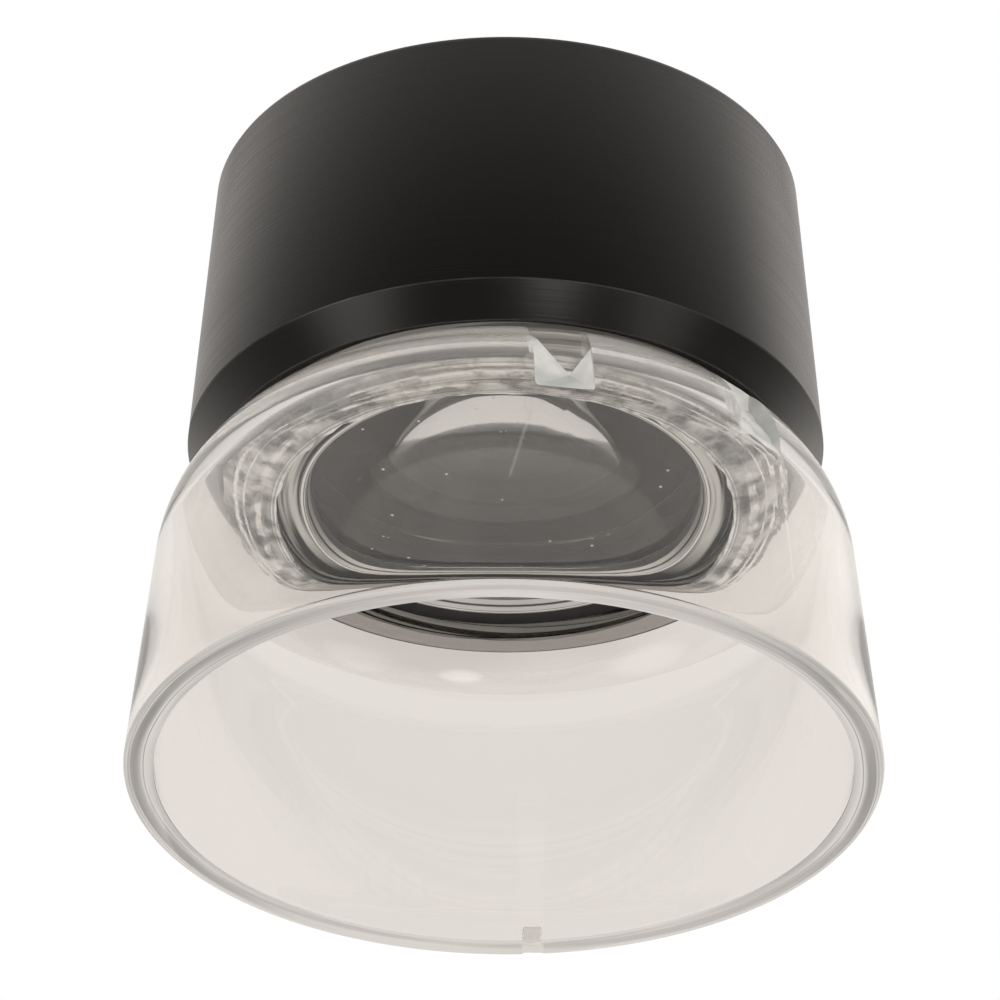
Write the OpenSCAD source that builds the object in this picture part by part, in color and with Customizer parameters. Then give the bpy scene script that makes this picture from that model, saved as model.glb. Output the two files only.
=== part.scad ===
// Stand magnifier: a tapered black head that screws up and down on the threaded neck of a
// clear bell-shaped skirt. Millimetres, +Z up, origin at the middle of the rim it stands on,
// front towards -Y. Modelled with the head screwed right down.

/* [Skirt] */
// Diameter of the rim it stands on
rim_d = 43; // [40:0.5:48]
// Inward lean of the wall, degrees
wall_draft = 5.7; // [4.5:0.1:6.5]
// Thickness of the clear wall where the shoulder starts
wall_t = 1; // [0.8:0.1:1.4]
// Radius of the rounded shoulder
shoulder_r = 8.6; // [8.2:0.1:9.2]
// Radius of the shoulder's inside
shoulder_in = 6.8; // [6.4:0.1:7.2]
// Height of the shoulder's centre above the rim
shoulder_z = 12.7; // [11:0.1:15]
// Thickness of the rim, inside which a scale disc fits
rim_t = 1.65; // [1.45:0.05:1.75]
// Height over which the inner wall stands upright there
seat_h = 1.2; // [0.8:0.1:2]

/* [Notch and chip] */
// Direction of the notch, degrees to the right of the front
notch_turn = 9.3; // [-30:0.1:25]
// Width of the notch
notch_w = 3.35; // [2.5:0.05:4.5]
// How far the notch's outer edge lies above the shoulder's centre
notch_rise = 0.8; // [0.2:0.1:2]
// How far the tip of the broken web lies above the outer edge
web_rise = 1.8; // [1.2:0.1:2.4]
// Sideways place of that tip
web_tip = 0.5; // [-1:0.1:1]
// Width of the moulding gate's scar at the back of the rim
gate_w = 1.4; // [1:0.1:2]
// Height of that scar
gate_h = 1.7; // [1:0.1:2.5]
// Depth of that scar
gate_deep = 0.45; // [0.2:0.05:0.6]
// Direction of the chip, degrees to the right of the front
chip_turn = 45; // [40:0.5:60]
// Width of the chip along its lower edge
chip_w = 3.3; // [2:0.1:4]

/* [Neck and focusing thread] */
// Wall of the neck under the thread
neck_wall = 1.6; // [1.4:0.1:1.9]
// Gap between the neck's bore and the lens cell
neck_gap = 0.35; // [0.3:0.01:0.45]
// How far the neck hangs below the inside of the shoulder
neck_drop = 1.33; // [1:0.01:1.6]
// How far the neck stands above the shoulder
neck_rise = 6.1; // [5.6:0.1:6.5]
// Pitch of the thread
thread_pitch = 1; // [0.9:0.05:1.2]
// Number of thread starts
thread_starts = 4; // [3:1:5]
// Height of the thread's ridges
thread_h = 0.55; // [0.45:0.05:0.6]
// Gap between the neck's thread and the nut's, radially
thread_gap = 0.13; // [0.1:0.01:0.2]
// Thickness of the cement around the neck
cement_t = 0.15; // [0.1:0.05:0.25]
// Width of the cement fillet along the inside of the shoulder
fillet_w = 0.8; // [0.5:0.1:1.2]
// Thickness of the cement smeared on the neck's end
smear_t = 0.18; // [0.12:0.02:0.3]

/* [Head] */
// Wall of the barrel at its lower corner
barrel_wall = 1.93; // [1.6:0.01:2.4]
// Inward lean of the barrel towards the eye, degrees
barrel_draft = 4.1; // [2:0.1:4.8]
// Height of the head from its lip to the eye end
head_h = 19.5; // [19:0.1:24]
// Height of the turned bevel
bevel_h = 1.9; // [1.5:0.1:2.4]
// Width of the lip inside the bevel
lip_w = 0.4; // [0.3:0.05:0.6]
// Gap between the head's lip and the shoulder when screwed down
lip_gap = 0.42; // [0.35:0.01:0.6]
// Wall of the focusing nut outside its thread
nut_wall = 0.7; // [0.6:0.05:1]
// Thickness of the web that carries the lens cell
web_t = 1.5; // [1.2:0.1:1.8]
// Rounding of the barrel's top edge
top_edge = 0.4; // [0.2:0.1:0.6]

/* [Guide ring] */
// Thickness of the ring that can't turn
ring_t = 1.1; // [1:0.05:1.4]
// Gap between the guide ring's plate and its neighbours
ring_gap = 0.05; // [0.03:0.01:0.1]
// Thickness of the tongue that slides in the neck
tongue_t = 0.55; // [0.4:0.05:0.6]
// Width of the tongue
tongue_w = 3; // [2:0.1:4]
// Length of tongue still held by the neck when the head is right up
tongue_hold = 3.35; // [2:0.05:3.5]
// Running gap between the tongue and its keyway
tongue_gap = 0.08; // [0.05:0.01:0.1]
// Diameter of the stop pin
pin_d = 1; // [0.8:0.1:1.1]
// Turn of the head from stop to stop, degrees
focus_turn = 270; // [180:5:285]
// Thickness of the low-friction washer
washer_t = 0.3; // [0.2:0.05:0.4]

/* [Lens cell] */
// Diameter of the lenses
lens_d = 23.9; // [23:0.1:24.5]
// Fit of the glass in the cell, radially
glass_fit = 0.05; // [0.03:0.01:0.08]
// Wall of the cell
cell_wall = 1.25; // [1.15:0.05:1.4]
// How far the cell sits up inside the neck
cell_recess = 0.7; // [0.4:0.1:1]
// Width of the cell's flange
flange_w = 2.3; // [2:0.1:2.5]
// Thickness of the cell's flange
flange_t = 1.4; // [1:0.1:1.8]
// Thickness of the brass shim that sets the focus
shim_t = 0.2; // [0.1:0.05:0.3]
// Height of the ring that locks the cell
lock_h = 1.8; // [1.4:0.1:2.2]
// Inward reach of the retainers and spacers over the glass
glass_lip = 0.6; // [0.5:0.05:0.9]
// Height of the lower retainer
lower_retainer_h = 1.2; // [1:0.1:1.4]
// Height of the upper retainer
upper_retainer_h = 1.2; // [1:0.1:1.5]
// Diameter of the drag ring's section
drag_d = 1; // [0.9:0.05:1.1]
// Width of the spanner slots in the retainers
spanner_w = 1.2; // [0.8:0.1:1.5]

/* [Lenses] */
// Edge thickness of the lower lens
lower_edge = 1.6; // [1.4:0.1:1.8]
// Surface radius of the lower lens
lower_curve = 30; // [28:1:40]
// Height of the lower spacer
lower_spacer_h = 3.2; // [2.8:0.1:3.4]
// Thickness of the aperture stop
stop_t = 0.2; // [0.15:0.05:0.25]
// Width of the aperture stop, from the cell's bore inwards
stop_w = 1.6; // [1.3:0.1:2.5]
// Edge thickness of the flint lens
flint_edge = 4.3; // [4:0.1:4.5]
// Radius of the cemented surface
cement_curve = 26; // [25:0.5:30]
// Edge thickness of the crown lens
crown_edge = 0.6; // [0.5:0.05:0.9]
// Upper surface radius of the crown lens
crown_curve = 35; // [33:1:45]
// Height of the upper spacer
upper_spacer_h = 2.5; // [2.4:0.1:2.8]
// Edge thickness of the upper lens
upper_edge = 1.2; // [1:0.1:1.5]
// Surface radius of the upper lens
upper_curve = 40; // [36:1:60]

/* [Eye cap] */
// Diameter of the eye opening
eye_d = 19; // [16:0.5:20]
// Diameter of the dish around the eye opening
dish_d = 27; // [25:0.5:28]
// Depth of the dish
dish_h = 1.6; // [1:0.1:2]
// Height of the whole cap
cap_h = 3.4; // [3:0.1:3.8]
// Width of the cap's seat on the barrel
cap_seat = 0.5; // [0.4:0.05:0.7]
// Height of the cap's rim above that seat
cap_rim = 1; // [0.8:0.1:1.2]
// Width of the cap's skirt that goes down inside the barrel
cap_skirt_w = 1.2; // [1:0.1:1.5]
// Height of that skirt
cap_skirt_h = 0.9; // [0.6:0.1:1.2]

/* [Hidden] */
$fn = 96;
// Overshoot of a cutting shape past the face it cuts
past = 1;
// Clearance between flat ends that pass or face each other
edge_gap = 0.3;
// Hair of space between curved faces that are glued or pressed together
hair = 0.02;
// Section of a thread ridge, as shares of the pitch, and how deep its foot is sunk
ridge_foot = 0.46;
ridge_top = 0.2;
thread_foot = 0.2;
steps_per_turn = 30;
// Plain length that a thread leaves at each end of its tube
thread_end = 0.5;
// Play at small places: the key's floor, the pin and the drag ring
play = 0.1;
// Play across the stop pin in its groove and between turned rings
ring_play = 0.15;
// Size of a point that a hull is stretched from
dot = 0.01;
// How much higher the notch's floor runs at its left and right than at the tip of the V
web_left = 3;
web_right = 1.9;
// How far the chip slants sideways and down
chip_slant = 0.9;
chip_depth = 1.2;
// Bevels under the eye cap, at the bore and outside it
cap_bevel_h = 0.6;
cap_bevel_w = 1.4;
// Depths of the spanner slots and of the stop pin's groove
retainer_slot = 0.6;
lock_slot = 0.8;
pin_deep = 0.7;

// Radii of the lens cell and of what goes round it, from the glass outwards
lens_r = lens_d / 2;
cell_bore = lens_r + glass_fit;
cell_r = cell_bore + cell_wall;
glass_open = cell_bore - glass_lip;
dome_r = glass_open - glass_fit;
neck_bore = cell_r + neck_gap;
neck_root = neck_bore + neck_wall;
neck_crest = neck_root + thread_h;
nut_crest = neck_root + thread_gap;
nut_root = neck_crest + thread_gap;
nut_r = nut_root + nut_wall;
lip_r = nut_r + lip_w;
head_r = nut_r + barrel_wall;

// Centre of the shoulder's arc, so that it meets the leaning wall smoothly
rim_r = rim_d / 2;
shoulder_c = rim_r - (shoulder_r + shoulder_z * sin(wall_draft)) / cos(wall_draft);
// Height of the bell's outside at a radius, and its radius at a height
function bell_z(r) = shoulder_z + sqrt(pow(shoulder_r, 2) - pow(r - shoulder_c, 2));
function bell_r(z) = shoulder_c + sqrt(pow(shoulder_r, 2) - pow(z - shoulder_z, 2));

// The inside of the bell is upright at the rim, then leans less than the outside, so that the
// wall is thicker at the rim; its shoulder has an arc of its own
seat_r = rim_r - rim_t;
inside_c = shoulder_c + shoulder_r - wall_t - shoulder_in;
inside_x = seat_r - inside_c;
inside_y = shoulder_z - seat_h;
inside_draft = acos(shoulder_in / sqrt(pow(inside_x, 2) + pow(inside_y, 2))) - atan2(inside_y, inside_x);
function inside_z(r) = shoulder_z + sqrt(pow(shoulder_in, 2) - pow(r - inside_c, 2));
function inside_r(z) = inside_c + sqrt(pow(shoulder_in, 2) - pow(z - shoulder_z, 2));

// Heights of the neck and of the head's own pieces, from the shoulder upwards
hole_r = neck_crest + cement_t;
neck_z = inside_z(neck_crest) - neck_drop;
neck_top = bell_z(neck_crest) + neck_rise;
lip_z = bell_z(lip_r) + lip_gap;
corner_z = lip_z + bevel_h;
head_top = lip_z + head_h;
nut_z = bell_z(nut_root) + edge_gap;
nut_top = neck_top + edge_gap;
ring_z = nut_top + ring_gap;
washer_z = ring_z + ring_t + ring_gap;
web_z = washer_z + washer_t;
shim_z = web_z + web_t;
flange_z = shim_z + shim_t;
lock_z = flange_z + flange_t;
cap_z = head_top - cap_h;
function barrel_r(z) = head_r - (z - corner_z) * tan(barrel_draft);
flange_r = cell_r + flange_w;
shaft_r = flange_r + glass_fit;
cap_r = shaft_r + cap_seat;

// Travel of the head, and the lead of the thread that gives it
thread_lead = thread_pitch * thread_starts;
focus_travel = thread_lead * focus_turn / 360;

// Guide ring and its stop pin
ring_in = neck_bore + ring_play;
ring_out = nut_r - edge_gap;
tongue_out = ring_in + tongue_t;
tongue_z = neck_top - focus_travel - tongue_hold;
pin_ring_r = (tongue_out + ring_out) / 2 + ring_gap;
pin_start = 90 - focus_turn / 2;
groove_half = pin_d / 2 + ring_play;

// Stack of glass inside the cell, from the bottom
cell_z = neck_z + cell_recess;
lower_lens_z = cell_z + lower_retainer_h;
lower_spacer_z = lower_lens_z + lower_edge;
stop_z = lower_spacer_z + lower_spacer_h;
flint_z = stop_z + stop_t;
crown_z = flint_z + flint_edge;
upper_spacer_z = crown_z + crown_edge;
upper_lens_z = upper_spacer_z + upper_spacer_h;
upper_retainer_z = upper_lens_z + upper_edge;
cell_top = upper_retainer_z + upper_retainer_h + 2 * play;
cell_neck_r = cell_r - edge_gap;
drag_z = neck_top - focus_travel - drag_d - edge_gap;
drag_floor = neck_bore - glass_fit - drag_d;
lock_in = cell_neck_r + ring_play;

black = [0.13, 0.13, 0.12];
clear = [0.86, 0.88, 0.86, 0.45];
glass = [0.75, 0.82, 0.82, 0.5];

// A plain ring between two radii
module ring(r_in, r_out, z, h) {
    translate([0, 0, z]) difference() {
        cylinder(r = r_out, h = h);
        translate([0, 0, -past]) cylinder(r = r_in, h = h + 2 * past);
    }
}

// One bar across a ring's top face, which leaves a spanner slot on either side of it
module spanner_slots(r_out, z_top, depth) {
    reach = r_out + past;
    translate([-reach, -spanner_w / 2, z_top - depth]) cube([2 * reach, spanner_w, depth + past]);
}

// One ridge of a thread: a trapezoid carried along a right-hand helix
module ridge(r_root, r_crest, z0, z1, turn) {
    w_root = thread_pitch * ridge_foot;
    w_crest = thread_pitch * ridge_top;
    n = ceil((z1 - z0) / thread_lead * steps_per_turn);
    points = [for (i = [0:n])
        let (z = z0 + (z1 - z0) * i / n, a = turn + 360 * z / thread_lead)
        for (c = [[r_root, -w_root], [r_crest, -w_crest], [r_crest, w_crest], [r_root, w_root]])
            [c[0] * cos(a), c[0] * sin(a), z + c[1] / 2]];
    sides = [for (i = [0:n - 1], k = [0:3])
        let (a = 4 * i + k, b = 4 * i + (k + 1) % 4)
        each [[a, b, b + 4], [a, b + 4, a + 4]]];
    ends = [[3, 2, 1], [3, 1, 0], [4 * n, 4 * n + 1, 4 * n + 2], [4 * n, 4 * n + 2, 4 * n + 3]];
    faces = concat(sides, ends);
    turned_faces = [for (f = faces) [f[2], f[1], f[0]]];
    polyhedron(points, r_crest > r_root ? faces : turned_faces, convexity = 8);
}

// All starts of a thread; a shift of half a start puts the ridges in the other part's gaps
module thread(r_root, r_crest, z0, z1, shift = 0) {
    for (s = [0:thread_starts - 1])
        ridge(r_root, r_crest, z0, z1, (s + shift) * 360 / thread_starts);
}

// Half section of the bell's outside
module bell_section() {
    polygon([[0, 0], [rim_r, 0],
        [shoulder_c + shoulder_r * cos(wall_draft), shoulder_z + shoulder_r * sin(wall_draft)],
        [shoulder_c, shoulder_z], [shoulder_c, shoulder_z + shoulder_r], [0, shoulder_z + shoulder_r]]);
    translate([shoulder_c, shoulder_z]) circle(r = shoulder_r);
}

// Half section of the space inside the bell
module inside_section() {
    r = shoulder_in;
    polygon([[0, -past], [seat_r, -past], [seat_r, seat_h],
        [inside_c + r * cos(inside_draft), shoulder_z + r * sin(inside_draft)],
        [inside_c, shoulder_z], [inside_c, shoulder_z + r], [0, shoulder_z + r]]);
    translate([inside_c, shoulder_z]) circle(r = r);
}

// The cut of the notch: straight sides, and a floor that climbs inwards to a broken V
module notch_cut() {
    half = notch_w / 2;
    out_z = shoulder_z + notch_rise;
    tip_z = out_z + web_rise;
    high = head_top;
    out_r = bell_r(out_z);
    in_r = inside_r(tip_z);
    outer = [[-half, out_z], [half, out_z], [half, high], [-half, high]];
    inner = [[-half, tip_z + web_left], [web_tip, tip_z], [half, tip_z + web_right], [half, high],
        [-half, high]];
    rotate([0, 0, notch_turn - 90]) hull() {
        for (p = outer, r = [out_r, rim_r + past]) translate([r, p[0], p[1]]) cube(dot);
        for (p = inner, r = [in_r, neck_crest - play]) translate([r, p[0], p[1]]) cube(dot);
    }
}

// The chip: one slanting break across the shoulder
module chip_cut() {
    low_z = shoulder_z + notch_rise;
    near = hole_r + past;
    high_z = bell_z(near);
    far = rim_r + past;
    rotate([0, 0, chip_turn - 90]) hull() {
        for (y = [-chip_w / 2, chip_w / 2]) {
            translate([bell_r(low_z), y, low_z]) cube(dot);
            translate([far, y, low_z]) cube(dot);
            translate([near, y + chip_slant, high_z - chip_depth]) cube(dot);
            translate([far, y + chip_slant, high_z + past]) cube(dot);
            translate([near, y + chip_slant, high_z + past]) cube(dot);
        }
    }
}

module skirt() {
    color(clear) difference() {
        rotate_extrude() difference() {
            bell_section();
            inside_section();
        }
        translate([0, 0, shoulder_z]) cylinder(r = hole_r, h = shoulder_r + past);
        notch_cut();
        chip_cut();
        translate([-gate_w / 2, rim_r - gate_deep, -past]) cube([gate_w, past, gate_h + past]);
    }
}

module neck() {
    color(clear) difference() {
        union() {
            translate([0, 0, neck_z]) cylinder(r = neck_root, h = neck_top - neck_z);
            thread(neck_root - thread_foot, neck_crest, neck_z + thread_end, neck_top - thread_end - play);
        }
        translate([0, 0, neck_z - past]) cylinder(r = neck_bore, h = neck_top - neck_z + 2 * past);
        // Keyway for the guide ring's tongue, open at the top
        intersection() {
            ring(neck_bore - past, tongue_out + tongue_gap, tongue_z - 4 * play, neck_top);
            translate([-tongue_w / 2 - tongue_gap, 0, 0])
                cube([tongue_w + 2 * tongue_gap, rim_r, head_top]);
        }
    }
}

// Cured cement in the corner between the neck and the inside of the shoulder, smeared round
// onto the neck's end
module cement_fillet() {
    inner_r = shoulder_in - hair;
    foot_angle = acos((neck_crest - inside_c) / inner_r) - fillet_w / inner_r * 180 / PI;
    foot = [inside_c + inner_r * cos(foot_angle), shoulder_z + inner_r * sin(foot_angle)];
    smear_in = neck_bore + ring_play;
    smear_z = neck_z - hair;
    step_z = neck_z + thread_end / 2;
    color([0.82, 0.82, 0.78, 0.7]) difference() {
        rotate_extrude() intersection() {
            translate([inside_c, shoulder_z]) circle(r = inner_r);
            polygon([[smear_in, smear_z], [smear_in, smear_z - smear_t],
                [neck_root - edge_gap, smear_z - smear_t], [neck_crest + edge_gap, neck_z + 2 * play], foot,
                [foot[0], head_top], [neck_crest + hair, head_top], [neck_crest + hair, step_z],
                [neck_root + hair, step_z], [neck_root + hair, smear_z]]);
        }
        notch_cut();
    }
}

module guide_ring() {
    groove_start = pin_start - 1;
    groove_turn = focus_turn + 2;
    color(black) difference() {
        union() {
            ring(ring_in, ring_out, ring_z, ring_t);
            intersection() {
                ring(ring_in, tongue_out, tongue_z, ring_z - tongue_z + ring_t / 2);
                translate([-tongue_w / 2, 0, 0]) cube([tongue_w, rim_r, head_top]);
            }
        }
        // Groove whose two ends stop the pin
        translate([0, 0, ring_z + ring_t - pin_deep]) {
            rotate([0, 0, groove_start]) rotate_extrude(angle = groove_turn)
                translate([pin_ring_r - groove_half, 0]) square([2 * groove_half, pin_deep + past]);
            for (a = [groove_start, groove_start + groove_turn])
                rotate([0, 0, a]) translate([pin_ring_r, 0, 0])
                    cylinder(r = groove_half, h = pin_deep + past);
        }
    }
}

module barrel() {
    lip_in = nut_r + hair;
    color(black) difference() {
        rotate_extrude() polygon([[lip_in, lip_z + lip_w], [lip_r, lip_z], [lip_r + play, lip_z],
            [head_r, corner_z], [barrel_r(head_top - top_edge), head_top - top_edge],
            [barrel_r(head_top) - top_edge, head_top], [cap_r, head_top], [cap_r, head_top - cap_rim],
            [shaft_r, head_top - cap_rim], [shaft_r, shim_z], [cell_r + glass_fit, shim_z],
            [cell_r + glass_fit, web_z], [lip_in, web_z]]);
        rotate([0, 0, pin_start]) translate([pin_ring_r, 0, web_z - past])
            cylinder(d = pin_d, h = web_t + 2 * past);
    }
}

module focusing_nut() {
    color(black) difference() {
        translate([0, 0, nut_z]) cylinder(r = nut_r, h = nut_top - nut_z);
        difference() {
            translate([0, 0, nut_z - past]) cylinder(r = nut_root, h = nut_top - nut_z + 2 * past);
            thread(nut_root + thread_foot, nut_crest, nut_z + thread_end, neck_top - 2 * thread_end, 0.5);
        }
    }
}

module stop_pin() {
    pin_z = ring_z + ring_t - pin_deep + play;
    color("silver") rotate([0, 0, pin_start]) translate([pin_ring_r, 0, pin_z])
        cylinder(d = pin_d, h = shim_z - pin_z - ring_gap);
}

module glide_washer() {
    color("white") difference() {
        ring(ring_in + edge_gap, ring_out, washer_z, washer_t);
        rotate([0, 0, pin_start]) translate([pin_ring_r, 0, washer_z - past])
            cylinder(r = pin_d / 2 + ring_gap, h = washer_t + 2 * past);
    }
}

module focus_shim() {
    color("gold") ring(cell_r + glass_fit, flange_r - edge_gap, shim_z, shim_t);
}

module lens_cell() {
    color(black) difference() {
        union() {
            translate([0, 0, cell_z]) cylinder(r = cell_r, h = flange_z - cell_z + flange_t / 2);
            translate([0, 0, flange_z]) cylinder(r = flange_r, h = flange_t);
            translate([0, 0, flange_z]) cylinder(r = cell_neck_r, h = cell_top - flange_z);
        }
        translate([0, 0, cell_z - past]) cylinder(r = cell_bore, h = cell_top - cell_z + 2 * past);
        // Groove for the drag ring
        ring(drag_floor, cell_r + past, drag_z - play, drag_d + 2 * play);
    }
}

module drag_ring() {
    color("dimgray") rotate_extrude()
        translate([drag_floor + drag_d / 2, drag_z + drag_d / 2]) circle(d = drag_d, $fn = 32);
}

module lower_retainer() {
    color("silver") difference() {
        ring(glass_open, cell_bore, cell_z, lower_retainer_h);
        // The mouth is bevelled so that it hides none of the view
        translate([0, 0, cell_z - hair])
            cylinder(r1 = glass_open + glass_lip / 2, r2 = glass_open, h = lower_retainer_h / 2);
    }
}

module lower_spacer() {
    color(black) ring(glass_open, cell_bore, lower_spacer_z, lower_spacer_h);
}

module aperture_stop() {
    color(black) ring(cell_bore - stop_w, cell_bore, stop_z, stop_t);
}

module upper_spacer() {
    color(black) ring(glass_open, cell_bore, upper_spacer_z, upper_spacer_h);
}

module upper_retainer() {
    color(black) difference() {
        ring(glass_open, cell_bore, upper_retainer_z, upper_retainer_h);
        spanner_slots(cell_bore, upper_retainer_z + upper_retainer_h, retainer_slot);
    }
}

// How far a spherical surface of radius c rises over a width of radius r
function sag(c, r) = c - sqrt(c * c - r * r);

// The polished dome, which stops inside the ring that holds the glass
module dome(c, z) {
    intersection() {
        translate([0, 0, z + sag(c, dome_r) - c]) sphere(r = c, $fn = 180);
        translate([0, 0, z]) cylinder(r = dome_r, h = c);
    }
}

// Sphere that shapes the cemented surface between the flint and the crown
module cemented_sphere() {
    translate([0, 0, crown_z - sag(cement_curve, lens_r) + cement_curve])
        sphere(r = cement_curve, $fn = 180);
}

// A lens that is flat below and domed above
module plano_lens(edge, curve, z) {
    translate([0, 0, z]) cylinder(r = lens_r, h = edge);
    dome(curve, z + edge);
}

module lower_lens() {
    color(glass) plano_lens(lower_edge, lower_curve, lower_lens_z);
}

module flint_lens() {
    color(glass) difference() {
        translate([0, 0, flint_z]) cylinder(r = lens_r, h = flint_edge);
        cemented_sphere();
    }
}

module crown_lens() {
    color(glass) {
        intersection() {
            cemented_sphere();
            translate([0, 0, flint_z]) cylinder(r = lens_r, h = flint_edge);
        }
        plano_lens(crown_edge, crown_curve, crown_z);
    }
}

module upper_lens() {
    color(glass) plano_lens(upper_edge, upper_curve, upper_lens_z);
}

module lock_ring() {
    color(black) difference() {
        ring(lock_in, shaft_r, lock_z, lock_h);
        spanner_slots(shaft_r, lock_z + lock_h, lock_slot);
    }
}

module eye_cap() {
    eye_r = eye_d / 2;
    rim_z = head_top - cap_rim;
    skirt_in = shaft_r - cap_skirt_w;
    color(black) rotate_extrude() polygon([[eye_r, cap_z + cap_bevel_h], [eye_r, head_top - dish_h],
        [dish_d / 2, head_top], [cap_r, head_top], [cap_r, rim_z], [shaft_r, rim_z], [shaft_r, cap_z],
        [skirt_in, cap_z], [skirt_in, cap_z + cap_skirt_h], [eye_r + cap_bevel_w, cap_z]]);
}

skirt();
neck();
cement_fillet();
guide_ring();
barrel();
focusing_nut();
stop_pin();
glide_washer();
focus_shim();
lens_cell();
drag_ring();
lower_retainer();
lower_lens();
lower_spacer();
aperture_stop();
flint_lens();
crown_lens();
upper_spacer();
upper_lens();
upper_retainer();
lock_ring();
eye_cap();
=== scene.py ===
# %% [markdown]
# # A stand magnifier in black and clear plastic
# A small focusing magnifier stands on a clear bell-shaped skirt. The head is a tapered black
# barrel with the lenses inside. Almost every piece comes from a lathe or a mould with one axis,
# so most of the lesson is about drawing an outline and spinning it. The rest is about clear
# plastic: its walls have to be real walls, because what the eye reads is how they bend light.

# %% Load the frame
import math

import bpy
from mathutils import Matrix, Vector, noise


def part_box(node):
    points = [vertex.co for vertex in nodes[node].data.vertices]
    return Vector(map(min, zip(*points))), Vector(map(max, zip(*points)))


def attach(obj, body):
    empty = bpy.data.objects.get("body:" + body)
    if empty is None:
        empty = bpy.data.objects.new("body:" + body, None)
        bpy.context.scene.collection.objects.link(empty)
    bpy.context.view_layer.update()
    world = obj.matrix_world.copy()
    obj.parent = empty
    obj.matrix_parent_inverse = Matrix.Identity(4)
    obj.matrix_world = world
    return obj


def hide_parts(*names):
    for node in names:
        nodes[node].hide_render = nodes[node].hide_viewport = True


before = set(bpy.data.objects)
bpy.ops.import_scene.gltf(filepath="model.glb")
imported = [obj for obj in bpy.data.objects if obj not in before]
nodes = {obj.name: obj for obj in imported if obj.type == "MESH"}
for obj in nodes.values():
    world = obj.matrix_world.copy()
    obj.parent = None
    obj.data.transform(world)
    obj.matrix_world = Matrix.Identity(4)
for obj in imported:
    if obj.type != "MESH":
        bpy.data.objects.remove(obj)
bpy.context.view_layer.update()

# %% [markdown]
# ## Sizes
# Blender works in metres and the drawings of such a part are in millimetres, so every size is
# written in millimetres here and multiplied by MM where a mesh is made. Radii and walls of the
# skirt and the neck are written here. The other heights and outer radii are read from the frame,
# which keeps the new pieces where the solids are.

# %% Sizes in millimetres
MM = 0.001
MERGE = 0.0005 * MM
TURN_STEPS = 192

# the skirt: its rim, leaning wall, shoulder and the hole for the neck
rim_r = 21.5
rim_t = 1.65
wall_t = 1.0
wall_draft = math.radians(5.7)
shoulder_r = 8.6
shoulder_in = 6.8
shoulder_z = 12.7
hole_r = 15.9

# the neck with its thread, and the lens cell inside it
neck_bore = 13.6
neck_root = 15.2
neck_crest = 15.75
thread_lead = 4.0
thread_starts = 4
cell_bore = 12.0
cell_r = 13.25

# where the damage to the shoulder is, as an angle to the right of the front
notch_turn = math.radians(9.3)
chip_turn = math.radians(45)


def low_mm(node):
    """Lowest height of a CAD node, in millimetres."""
    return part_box(node)[0].z / MM


def high_mm(node):
    """Highest height of a CAD node, in millimetres."""
    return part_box(node)[1].z / MM


def radius_mm(node):
    """Outer radius of a turned CAD node, in millimetres."""
    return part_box(node)[1].x / MM


shoulder_c = rim_r - (shoulder_r + shoulder_z * math.sin(wall_draft)) / math.cos(wall_draft)
inside_c = shoulder_c + shoulder_r - wall_t - shoulder_in
seat_r = rim_r - rim_t
print("rim radius", rim_r, "head from", round(low_mm("barrel"), 2), "to", round(high_mm("barrel"), 2))

# %% [markdown]
# ## Camera
# The photograph was taken from low in front, looking up under the head. The place and the lens
# come from fitting the edges of the rim and of the barrel in the photograph, so they are written
# as measured, in millimetres and degrees.

# %% Camera
camera_place = Vector((-0.308, -322.4, -181.0)) * MM
camera_rise = math.radians(31.75)
camera_roll = math.radians(0.34)
camera_lens = 235.3
ahead = Vector((0, math.cos(camera_rise), math.sin(camera_rise)))
side = Vector((1, 0, 0))
up = side.cross(ahead)
rolled_side = math.cos(camera_roll) * side + math.sin(camera_roll) * up
rolled_up = rolled_side.cross(ahead)
camera_data = bpy.data.cameras.new("camera")
camera_data.lens = camera_lens
camera_data.sensor_width = 36
camera_data.sensor_fit = "HORIZONTAL"
camera_data.clip_start = 0.01
camera = bpy.data.objects.new("camera", camera_data)
bpy.context.scene.collection.objects.link(camera)
turn = Matrix((rolled_side, rolled_up, -ahead)).transposed()
camera.matrix_world = Matrix.Translation(camera_place) @ turn.to_4x4()
bpy.context.scene.camera = camera
print("camera", round(camera_place.length / MM), "mm from the rim's middle")

# %% [markdown]
# ## Small helpers for edit mode
# Blender's operators act on all that is selected, so each helper starts by selecting nothing. A
# turned piece is made the way a lathe tool draws it: one vertex is extruded from point to point
# along the outline, the closed outline is spun round the Z axis, and doubled vertices are merged.

# %% Helpers for turned pieces
def select_only(piece):
    """Makes one object the only selected and active one."""
    bpy.ops.object.select_all(action="DESELECT")
    piece.select_set(True)
    bpy.context.view_layer.objects.active = piece


def unit_cube():
    """A cube of one metre, whose corners are then put where they belong."""
    bpy.ops.object.select_all(action="DESELECT")
    bpy.ops.mesh.primitive_cube_add(size=1, location=(0, 0, 0))
    return bpy.context.object


def merge_doubles():
    """Selects the whole mesh in edit mode and merges its doubled vertices.

    What is left stays selected.
    """
    bpy.ops.mesh.select_all(action="SELECT")
    bpy.ops.mesh.remove_doubles(threshold=MERGE)


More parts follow.
